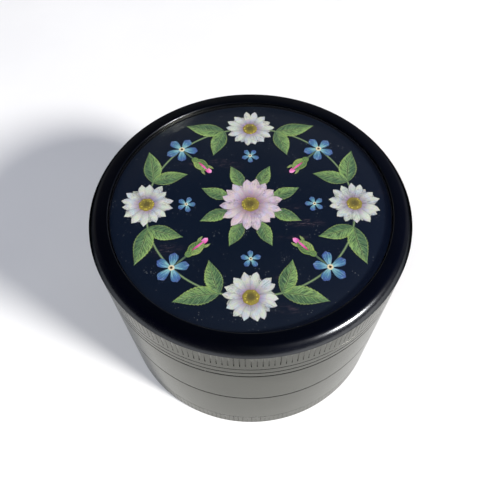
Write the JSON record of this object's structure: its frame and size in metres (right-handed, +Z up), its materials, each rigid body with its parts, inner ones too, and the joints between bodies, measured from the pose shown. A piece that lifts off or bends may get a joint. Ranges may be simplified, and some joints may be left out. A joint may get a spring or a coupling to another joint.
{
  "type": "hand herb and spice grinder",
  "caption": "Round screw-together hand grinder for dried herbs: toothed lid and chamber, sifting screen, bottom cup and a lid with an inlaid decorated disc.",
  "frame": {"origin": "centre of the flat underside, on the surface that the grinder stands on", "axes": "+Z up along the axis of the cylinder; +X and -Y are free about it on the round body, and the first tooth of each ring and the joint angles are counted from +X"},
  "size_m": [0.063, 0.063, 0.0444],
  "materials": {
    "black_anodised": "gloss black anodised, turned",
    "stainless_mesh": "woven stainless mesh",
    "ring_steel": "satin",
    "nickel_plate": "nickel plated magnet",
    "white_nylon": "natural nylon",
    "glue_film": "double-sided glue film",
    "printed_pearl": "dark printed disc with a plain pearly flower and leaf pattern",
    "clear_cover": "clear gloss acrylic"
  },
  "bodies": {
    "cup_body": {"bottom_cup": "black_anodised"},
    "screen_body": {"sifting_screen": "stainless_mesh", "screen_ring": "ring_steel"},
    "storage_body": {"storage_chamber": "black_anodised"},
    "chamber_magnet_body": {"chamber_magnet": "nickel_plate"},
    "chamber_body": {"grinding_chamber": "black_anodised"},
    "slip_ring_body": {"slip_ring": "white_nylon"},
    "lid_body": {"lid": "black_anodised", "lid_magnet": "nickel_plate", "inlay_glue_pad": "glue_film", "inlay_disc": "printed_pearl", "inlay_cover": "clear_cover"}
  },
  "joints": [
    {"name": "storage_rise", "type": "slide", "parent": "cup_body", "child": "screen_body", "axis": [0, 0, 1], "range_m": [0, 0.0175]},
    {"name": "storage_unscrew", "type": "hinge", "parent": "screen_body", "child": "storage_body", "pos_m": [0, 0, 0.012], "axis": [0, 0, 1], "range_deg": [0, 1800]},
    {"name": "chamber_rise", "type": "slide", "parent": "storage_body", "child": "chamber_magnet_body", "axis": [0, 0, 1], "range_m": [0, 0.0175]},
    {"name": "chamber_unscrew", "type": "hinge", "parent": "chamber_magnet_body", "child": "chamber_body", "pos_m": [0, 0, 0.027], "axis": [0, 0, 1], "range_deg": [0, 1800]},
    {"name": "lid_lift", "type": "slide", "parent": "chamber_body", "child": "slip_ring_body", "axis": [0, 0, 1], "range_m": [0, 0.03]},
    {"name": "lid_turn", "type": "hinge", "parent": "slip_ring_body", "child": "lid_body", "pos_m": [0, 0, 0.04], "axis": [0, 0, 1], "continuous": true}
  ],
  "couplings": [
    {"joint": "storage_rise", "follows": "storage_unscrew", "m_per_rad": 0.00055704},
    {"joint": "chamber_rise", "follows": "chamber_unscrew", "m_per_rad": 0.00055704}
  ]
}
